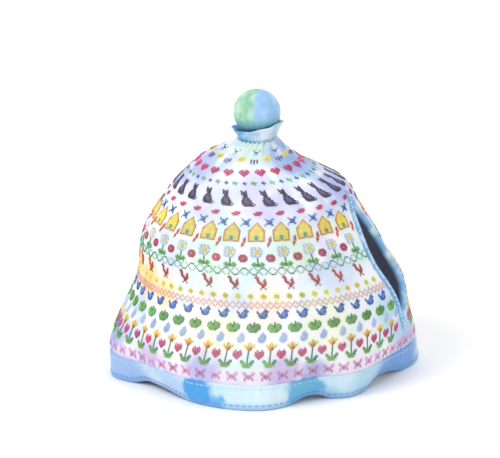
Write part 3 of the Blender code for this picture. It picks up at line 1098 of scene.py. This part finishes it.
def floss_material(name, roughness):
    """Mercerised cotton thread: a soft silky gleam over its twist."""
    material = new_material(name, {
        "Roughness": roughness, "Sheen Weight": 0.3, "Specular IOR Level": 0.4})
    tree = material.node_tree
    floss = add_node(tree, "ShaderNodeAttribute", attribute_name="floss")
    place = add_node(tree, "ShaderNodeTexCoord").outputs["Object"]
    strands = add_node(tree, "ShaderNodeTexNoise", {
        "Vector": place, "Scale": STRANDS_PER_MM / MM, "Detail": 1.0})
    # Painted shade and highlight: the strands' noise darkens the colour in their grooves and
    # lightens it on their crowns.
    shade = add_node(tree, "ShaderNodeMapRange", {
        "Value": strands, "From Min": 0.3, "From Max": 0.7, "To Min": 0.88, "To Max": 1.06})
    cover(tree, floss, shade, strands, 0.5, 0.05)
    return material


def stitch_tree(name, crossed, length, width, thickness, material):
    """Geometry nodes that lay one stitch on every point: a cross, or a single bar.

    A point's facing is the cloth's outward direction, its along the direction of
    the row, and its size scales the stitch.
    """
    tree = bpy.data.node_groups.new(name, "GeometryNodeTree")
    new_socket = tree.interface.new_socket
    new_socket("Geometry", in_out="INPUT", socket_type="NodeSocketGeometry")
    for label, value in (("Stitch Length", length), ("Stitch Width", width),
                         ("Thread Thickness", thickness)):
        new_socket(label, in_out="INPUT", socket_type="NodeSocketFloat").default_value = value
    new_socket("Geometry", in_out="OUTPUT", socket_type="NodeSocketGeometry")
    given = add_node(tree, "NodeGroupInput").outputs
    sizes = add_node(tree, "ShaderNodeCombineXYZ", {
        "X": given["Stitch Length"], "Y": given["Stitch Width"], "Z": given["Thread Thickness"]})
    start, middle, end, raise_by = (
        add_node(tree, "ShaderNodeVectorMath", {0: sizes, 1: shares}, operation="MULTIPLY")
        for shares in ((-0.5, -0.5, -END_SUNK), (0.0, 0.0, CROWN), (0.5, 0.5, -END_SUNK),
                       (0.0, 0.0, 0.5)))
    sides = CROSS_SIDES if crossed else BAR_SIDES
    path = add_node(tree, "GeometryNodeCurveArc", {
        "Resolution": sides, "Start": start, "Middle": middle, "End": end}, mode="POINTS")
    girth = add_node(tree, "ShaderNodeMath", {
        0: given["Thread Thickness"], 1: CROSS_GIRTH if crossed else 0.5}, operation="MULTIPLY")
    section = add_node(tree, "GeometryNodeCurvePrimitiveCircle", {"Resolution": sides})
    tree.links.new(girth.outputs[0], section.inputs["Radius"])
    flat_down = add_node(tree, "GeometryNodeTransform", {
        "Geometry": section, "Rotation": (0.0, 0.0, SECTION_TURN)})
    stitch = add_node(tree, "GeometryNodeCurveToMesh", {
        "Curve": path, "Profile Curve": flat_down, "Fill Caps": True})
    if crossed:
        upper = add_node(tree, "GeometryNodeTransform", {
            "Geometry": stitch, "Translation": raise_by, "Rotation": (0.0, 0.0, math.pi / 2.0)})
        join = add_node(tree, "GeometryNodeJoinGeometry")
        for leg in (upper, stitch):
            tree.links.new(leg.outputs[0], join.inputs[0])
        stitch = join
    facing, along, size = (
        add_node(tree, "GeometryNodeInputNamedAttribute", {"Name": label}, data_type=kind)
        for label, kind in (("facing", "FLOAT_VECTOR"), ("along", "FLOAT_VECTOR"),
                            ("size", "FLOAT")))
    turned = add_node(tree, "FunctionNodeAxesToRotation", {
        "Primary Axis": facing, "Secondary Axis": along}, primary_axis="Z", secondary_axis="X")
    laid = add_node(tree, "GeometryNodeInstanceOnPoints", {
        "Points": given["Geometry"], "Instance": stitch, "Rotation": turned, "Scale": size})
    real = add_node(tree, "GeometryNodeRealizeInstances", {"Geometry": laid})
    smooth = add_node(tree, "GeometryNodeSetShadeSmooth", {"Geometry": real})
    dyed = add_node(tree, "GeometryNodeSetMaterial", {"Geometry": smooth, "Material": material})
    add_node(tree, "NodeGroupOutput", {"Geometry": dyed})
    return tree


def lay_stitches(name, tree, points, facing, along, floss, size):
    """Lay a tree's stitches on points, and make them one plain mesh."""
    made = new_object(name, points, [], [])
    for label, kind, key, values in (("facing", "FLOAT_VECTOR", "vector", facing),
                                     ("along", "FLOAT_VECTOR", "vector", along),
                                     ("floss", "FLOAT_COLOR", "color", floss),
                                     ("size", "FLOAT", "value", size)):
        data = made.data.attributes.new(label, kind, "POINT").data
        data.foreach_set(key, np.ravel(values).astype(float).tolist())
    modifier = made.modifiers.new("stitches", "NODES")
    modifier.node_group = tree
    for item in tree.interface.items_tree:
        if item.in_out == "INPUT" and item.socket_type == "NodeSocketFloat":
            modifier[item.identifier] = item.default_value
    seen = made.evaluated_get(bpy.context.evaluated_depsgraph_get())
    mesh = bpy.data.meshes.new_from_object(seen)
    made.modifiers.clear()
    made.data = mesh
    mesh.name = name
    if not mesh.polygons:
        raise RuntimeError(name + " has no stitches")
    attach(made, "root")


def varied(dice, most):
    """A factor that lies up to a share above or below 1."""
    return 1.0 + most * (2.0 * dice.random() - 1.0)


def embroidery_points(row, number, pitch):
    """Degrees, height, floss, size and motif of each stitch in an embroidered row."""
    chart = CHARTS[row.chart].split()
    wide, high = len(chart[0]), len(chart)
    dice = random.Random(SEED + number)
    found = []
    for repeat in range(row.repeats):
        light, warm = varied(dice, row.tone), varied(dice, 0.6 * row.tone)
        centre = 360.0 * (repeat + row.turn) / row.repeats
        for line, letters in enumerate(chart):
            length = climb(row.height) + ((high - 1) / 2.0 - line) * pitch
            height = float(height_after(length))
            around = 2.0 * math.pi * float(radius_at(height))
            step = around / row.repeats / wide if row.joined else pitch
            for place, letter in enumerate(letters):
                if letter == ".":
                    continue
                degrees = centre + 360.0 * (place - (wide - 1) / 2.0) * step / around
                uneven = light * varied(dice, 0.05)
                red, green, blue = linear(FLOSS[letter])
                size = dice.uniform(*CROSS_SIZES)
                motif = ROW_STRIDE * number + (len(found) if row.joined else repeat)
                found.append((degrees, height, red * uneven * warm, green * uneven,
                              blue * uneven / warm, size, motif))
    return found


def uncut(motif, distance):
    """Which stitches belong to a motif that lies whole within a panel's sewn edges."""
    found, number = np.unique(motif, return_inverse=True)
    nearest = np.full(len(found), np.inf)
    np.minimum.at(nearest, number, distance)
    return nearest[number] > SEAM_MARGIN


def stand_in(cloth, node):
    """Put a piece of cloth in a solid's place, on the cosy's one body."""
    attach(cloth, "root")
    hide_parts(node)


class COSY_OT_panels(bpy.types.Operator):
    """Make the two embroidered panels' cloth"""

    bl_idname = "cosy.panels"
    bl_label = "Panels"

    def execute(self, context):
        sizes, colours = context.scene.cosy_sizes, context.scene.cosy_colours
        materials = [evenweave_cotton(sizes, colours, inside) for inside in (False, True)]
        left, right = SLITS
        flat = (math.pi * radius_at(BORDER_TOP) * MM, CLIMB_LENGTHS[-1] * MM)
        bands = np.diff(CLIMB_LENGTHS) * math.pi * radius_at(CLIMB_HEIGHTS[1:])
        for name, start, end in (("front_panel", left, right), ("back_panel", right, left)):
            cloth = make_panel(name + "_cloth", start, end, materials)
            stand_in(cloth, name)
        return {"FINISHED"}


def border_point(degrees, rise, depth):
    """A point of the border, a rise above the hem's edge and a depth under its outer face."""
    lift = flute(degrees)[1]
    squeeze = (BORDER_EDGE - lift - BORDER_FOLD) / (BORDER_EDGE - BORDER_FOLD)
    upper = lift + BORDER_FOLD + (rise - BORDER_FOLD) * squeeze
    height = np.where(rise < BORDER_FOLD, lift + rise, upper)
    level = np.clip((height - lift) / BORDER_TURN, 0.0, 1.0)
    slope = np.stack([0 * level + 1, 0 * level + 1, level], -1)
    outwards = unit(directions(bell, degrees, height)[1] * slope)
    gathers = (near(BORDER_EDGE - height, BORDER_TURN) * BORDER_GATHER_DEPTH
               * waves(degrees, *BORDER_GATHERS))
    return bell(degrees, height) + (gathers - depth)[:, None] * outwards


class COSY_OT_border(bpy.types.Operator):
    """Make the fluted strip around the hem"""

    bl_idname = "cosy.border"
    bl_label = "Hem Border"

    def execute(self, context):
        degrees = full_turn(BORDER_COLUMNS)
        section = [*BORDER_SECTION, *mirrored(BORDER_SECTION[:-1], CLOTH)]
        points = np.stack([border_point(degrees, rise, depth) for rise, depth in section], 1)
        around = np.radians(full_turn(BORDER_COLUMNS, closed=True)) * radius_at(BORDER_TOP)
        rises = np.array([rise for rise, _ in section] + [BORDER_EDGE])
        cloth = loft("hem_border_cloth", points[:, ::-1], measured(around, rises)[:, ::-1],
                     [border_cotton(context.scene.cosy_colours)])
        stand_in(cloth, "hem_border")
        return {"FINISHED"}


class COSY_OT_bindings(bpy.types.Operator):
    """Make the folded strips around the two slits"""

    bl_idname = "cosy.bindings"
    bl_label = "Slit Bindings"

    def execute(self, context):
        dyed = binding_cotton(context.scene.cosy_colours)
        section = [*BINDING_SECTION, *mirrored(BINDING_SECTION[1:], CLOTH)]
        steps = np.arange(BINDING_STEPS)
        for slit in SLITS:
            span = slit.highest - slit.lowest
            step = BINDING_RUN * span / BINDING_STEPS
            run = np.r_[0.0, np.cumsum(np.full(BINDING_STEPS, step))]
            count = int(run[-1] / BINDING_PUCKER)
            pucker = BINDING_PUCKER_DEPTH * np.cos(2.0 * math.pi * count * steps / BINDING_STEPS)
            corners = []
            for offset, depth in section:
                degrees, height = slit_side(slit, steps, BINDING_STEPS, offset)
                swell = pucker if offset > BINDING_LIP else 0.3 * pucker
                sink = depth - np.sign(CLOTH / 2.0 - depth) * swell
                corners.append(raised(degrees, height, -sink))
            across = np.linspace(0.0, 3.0 * BINDING_WIDTH, len(section) + 1)
            name = slit.side + "_slit_binding"
            cloth = loft(name + "_cloth", np.stack(corners, 1), measured(run, across), [dyed])
            stand_in(cloth, name)
        return {"FINISHED"}


def collar_point(degrees, share, depth):
    """A point of the collar a depth under its outer face, and the way outwards there."""
    shares = share + 0.0 * degrees
    outwards = unit(directions(collar, degrees, shares, 0.05)[1] * (1.0, 1.0, 0.0))
    fine = COLLAR_GATHER_DEPTH * (1.0 - share) * np.cos(np.radians(degrees) * COLLAR_GATHERS)
    dip = COLLAR_DIP * near(max(share, 0.0), COLLAR_DIP_REACH) * (depth < COLLAR_WALL / 2.0)
    return collar(degrees, shares) + (fine - dip - depth)[:, None] * outwards, outwards


class COSY_OT_collar(bpy.types.Operator):
    """Make the frilled collar around the neck"""

    bl_idname = "cosy.collar"
    bl_label = "Collar"

    def execute(self, context):
        degrees = full_turn(COLLAR_COLUMNS)
        section = [*COLLAR_SECTION, *mirrored(COLLAR_SECTION[:-1], COLLAR_WALL)]
        corners = [collar_point(degrees, share, depth)[0] for share, depth in section]
        around = np.radians(full_turn(COLLAR_COLUMNS, closed=True)) * NECK_RADIUS
        rises = np.array([share * COLLAR_LENGTH for share, _ in section] + [0.0])
        cloth = loft("neck_frill_cloth", np.stack(corners, 1), measured(around, rises),
                     [collar_cotton(context.scene.cosy_colours)])
        stand_in(cloth, "neck_frill")
        return {"FINISHED"}


class COSY_OT_bobble(bpy.types.Operator):
    """Make the stuffed bobble, drawn in at its foot"""

    bl_idname = "cosy.bobble"
    bl_label = "Bobble"

    def execute(self, context):
        degrees = full_turn(BOBBLE_COLUMNS)
        around = np.radians(full_turn(BOBBLE_COLUMNS, closed=True))
        start = math.asin(BOBBLE_TIE / BOBBLE_RADIUS)
        (lower_depth, lower), (upper_depth, upper) = BOBBLE_LOWER_FOLDS, BOBBLE_UPPER_FOLDS
        profile = list(BOBBLE_STEM)
        for row in range(BOBBLE_ROWS + 1):
            share = row / BOBBLE_ROWS
            polar = start + (math.pi - BOBBLE_CAP - start) * share
            folds = lower_depth * near(share, lower) + upper_depth * near(1.0 - share, upper)
            profile.append((BOBBLE_RADIUS * math.sin(polar),
                            BOBBLE_CENTRE - BOBBLE_RADIUS * math.cos(polar), folds))
        rings, lengths, run, last = [], [], 0.0, profile[-1]
        for radius, height, folds in reversed(profile):
            run += math.hypot(radius - last[0], height - last[1])
            last = radius, height
            folded = waves(degrees, *BOBBLE_FOLDS) * min(folds, 0.25 * radius)
            uneven = BOBBLE_UNEVEN * np.sin(2.0 * np.radians(degrees) + 0.06 * height)
            rings.append(on_circle(radius + folded + uneven * min(1.0, radius / 6.0), degrees,
                                   height, NECK_LEAN))
            lengths.append(np.stack([run * np.sin(around), run * np.cos(around)], -1))
        ball = loft("top_bobble_cloth", np.array(rings[::-1]), np.array(lengths[::-1]),
                    [bobble_cotton(context.scene.cosy_colours)], closed=False)
        stand_in(ball, "top_bobble")
        return {"FINISHED"}


class COSY_OT_embroidery(bpy.types.Operator):
    """Work the cross-stitch rows over both panels"""

    bl_idname = "cosy.embroidery"
    bl_label = "Embroidery"

    def execute(self, context):
        sizes = context.scene.cosy_sizes
        pitch = sizes.stitch_pitch / MM
        span = STITCH_SPAN * sizes.stitch_pitch
        tree = stitch_tree("Cross Stitch", True, span, span, sizes.floss_thickness,
                           floss_material("stranded_cotton_floss", 0.55))
        for group in ("hem", "middle", "shoulder"):
            found = []
            for number, row in enumerate(EMBROIDERED_ROWS):
                if row.group == group:
                    found += embroidery_points(row, number, pitch)
            degrees, height, red, green, blue, size, motif = np.array(found).T
            kept = uncut(motif, from_seams(degrees, height))
            forward = np.cos(np.radians(degrees))
            for name, half in (("front", forward > 0.0), ("back", forward <= 0.0)):
                pick = kept & half
                along, facing = directions(bell, degrees[pick], height[pick])
                points = cloth_point(degrees[pick], height[pick], STITCH_LIE)
                floss = np.stack([red, green, blue, 0 * red + 1], -1)[pick]
                lay_stitches(f"{name}_{group}_cross_stitch", tree, points, facing, along,
                             np.clip(floss, 0.0, 1.0), size[pick])
        return {"FINISHED"}


def sew(name, tree, points, along, facing, dye, scale=1.0):
    """Lay running or whip stitches in one thread colour."""
    dice = random.Random(SEED + len(points))
    size = [scale * dice.uniform(*SEWN_SIZES) for _ in points]
    floss = np.tile((*linear(dye), 1.0), (len(points), 1))
    lay_stitches(name, tree, points, facing, along, floss, size)


class COSY_OT_sewing(bpy.types.Operator):
    """Sew the border, the bindings, the side seams and the collar"""

    bl_idname = "cosy.sewing"
    bl_label = "Sewing"

    def execute(self, context):
        sizes = context.scene.cosy_sizes
        tree = stitch_tree("Running Stitch", False, sizes.sewing_stitch, 0.0,
                           SEWING_THREAD * sizes.floss_thickness,
                           floss_material("sewing_thread_cotton", 0.6))
        for name, rise, count, dye in RUNNING_STITCHES:
            degrees = full_turn(count)
            points = border_point(degrees, rise, BORDER_THREAD_SUNK)
            along = unit(border_point(degrees + READ_STEP, rise, 0.0) - points)
            upwards = border_point(degrees, rise + READ_STEP, 0.0) - points
            sew(name, tree, points, along, unit(np.cross(along, upwards)), dye)
        for slit in SLITS:
            self.sew_binding(slit, tree)
            self.sew_side_seam(slit, tree)
        self.gather_collar(tree)
        return {"FINISHED"}

    def sew_binding(self, slit, tree):
        """A running stitch along the inner edge of a binding's fold."""
        count = int(BINDING_RUN * (slit.highest - slit.lowest) / BINDING_PUCKER)
        rows = []
        for offset in (BINDING_SEAM, BINDING_SEAM + 0.4):
            degrees, height = slit_side(slit, np.arange(count) + 0.5, count, offset)
            rows.append(raised(degrees, height, BINDING_PROUD + STITCH_LIE))
        outwards = directions(bell, degrees, height)[1]
        along = unit(np.cross(outwards, rows[1] - rows[0]))
        sew(slit.side + "_binding_stitching", tree, rows[0], along, outwards, "#E6F1FB")

    def sew_side_seam(self, slit, tree):
        """Slanting whip stitches that join the two panels above and below a slit."""
        at_border, at_slit, at_neck = SEAM_ENDS
        room = BINDING_WIDTH + GAP + at_slit
        low, high = (slit_edge(slit, share, room)[0] for share in (-1.0, 1.0))
        spans = ((BORDER_TOP + at_border, low), (high, NECK_TOP - at_neck))
        lengths = np.concatenate([np.arange(climb(a), climb(b), SEAM_STEP) for a, b in spans])
        heights = height_after(lengths)
        degrees = np.full_like(heights, slit.degrees)
        around, outwards = directions(bell, degrees, heights)
        along = unit(around + 0.5 * np.cross(outwards, around))
        points = cloth_point(degrees, heights, 0.45 * SEAM_DIP)
        sew(slit.side + "_side_seam_stitching", tree, points, along, outwards, "#D5D9F2",
            SEAM_STITCH)

    def gather_collar(self, tree):
        """The dark gathering thread around the collar's foot."""
        degrees = 360.0 * np.arange(COLLAR_GATHERS) / COLLAR_GATHERS
        share, depth = COLLAR_THREAD
        points, outwards = collar_point(degrees, share, depth)
        along = unit(collar(degrees + READ_STEP, share) - collar(degrees - READ_STEP, share))
        sew("collar_gathering_thread", tree, points, along, outwards, "#2E7480",
            GATHER_STITCH)


class COSY_OT_stage(bpy.types.Operator):
    """Set the floor, the lights and the camera"""

    bl_idname = "cosy.stage"
    bl_label = "Stage"

    def execute(self, context):
        scene = context.scene
        scene.view_settings.view_transform = "Standard"
        # Matt white paper, uncoated: it takes a soft shadow and has no gleam.
        paper = new_material("matt_white_paper", {
            "Base Color": (*linear("#FAFAFA"), 1.0), "Roughness": 0.95,
            "Specular IOR Level": 0.0})
        corners = on_circle(FLOOR_RADIUS, full_turn(72), 0.0, 0.0)
        new_object("floor", corners, [range(len(corners))], [paper])
        scene.world = scene.world or bpy.data.worlds.new("studio")
        scene.world.use_nodes = True
        background = scene.world.node_tree.nodes["Background"]
        background.inputs["Color"].default_value = (1.0, 1.0, 1.0, 1.0)
        background.inputs["Strength"].default_value = WORLD_STRENGTH
        for name, place, size, power in LIGHTS:
            light = bpy.data.lights.new(name, "AREA")
            light.size = size
            light.energy = power
            lamp = bpy.data.objects.new(name, light)
            scene.collection.objects.link(lamp)
            lamp.location = place
            aim = Vector(LIGHT_TARGET) - Vector(place)
            lamp.rotation_euler = aim.to_track_quat("-Z", "Y").to_euler()
        set_camera(scene)
        return {"FINISHED"}


def set_camera(scene):
    """Place the camera at the picture's angle, with the hem's middle at its pixel."""
    azimuth, elevation = math.radians(CAMERA_AZIMUTH), math.radians(CAMERA_ELEVATION)
    back = Vector((math.sin(azimuth) * math.cos(elevation),
                   -math.cos(azimuth) * math.cos(elevation), math.sin(elevation)))
    turned = (-back).to_track_quat("-Z", "Y")
    turned = turned @ Quaternion((0.0, 0.0, 1.0), math.radians(-CAMERA_ROLL))
    right, up = turned @ Vector((1.0, 0.0, 0.0)), turned @ Vector((0.0, 1.0, 0.0))
    aside = (IMAGE_WIDTH / 2.0 - BASE_PIXEL[0]) * MM_PER_PIXEL * MM
    above = (BASE_PIXEL[1] - IMAGE_HEIGHT / 2.0) * MM_PER_PIXEL * MM
    camera = bpy.data.cameras.new("camera")
    camera.lens = CAMERA_LENS
    distance = IMAGE_WIDTH * MM_PER_PIXEL * MM * CAMERA_LENS / camera.sensor_width
    holder = bpy.data.objects.new("camera", camera)
    scene.collection.objects.link(holder)
    holder.location = right * aside + up * above + back * distance
    holder.rotation_mode = "QUATERNION"
    holder.rotation_quaternion = turned
    scene.camera = holder


class COSY_PT_panel(bpy.types.Panel):
    """The steps that make the cosy, in order"""

    bl_idname = "COSY_PT_panel"
    bl_label = "Tea Cosy"
    bl_space_type = "VIEW_3D"
    bl_region_type = "UI"
    bl_category = "Tea Cosy"

    def draw(self, context):
        for step in STEPS:
            self.layout.operator(step.bl_idname)
        for group in (context.scene.cosy_sizes, context.scene.cosy_colours):
            for name in group.__annotations__:
                self.layout.prop(group, name)


STEPS = (
    COSY_OT_stage,
    COSY_OT_panels,
    COSY_OT_border,
    COSY_OT_bindings,
    COSY_OT_collar,
    COSY_OT_bobble,
    COSY_OT_embroidery,
    COSY_OT_sewing,
)
CLASSES = (CosySizes, CosyColours, *STEPS, COSY_PT_panel)


def register():
    for cls in CLASSES:
        bpy.utils.register_class(cls)
    bpy.types.Scene.cosy_sizes = bpy.props.PointerProperty(type=CosySizes)
    bpy.types.Scene.cosy_colours = bpy.props.PointerProperty(type=CosyColours)


def unregister():
    del bpy.types.Scene.cosy_colours
    del bpy.types.Scene.cosy_sizes
    for cls in reversed(CLASSES):
        bpy.utils.unregister_class(cls)


def main():
    register()
    for step in STEPS:
        getattr(bpy.ops.cosy, step.bl_idname.split(".")[1])()


if __name__ == "__main__":
    main()
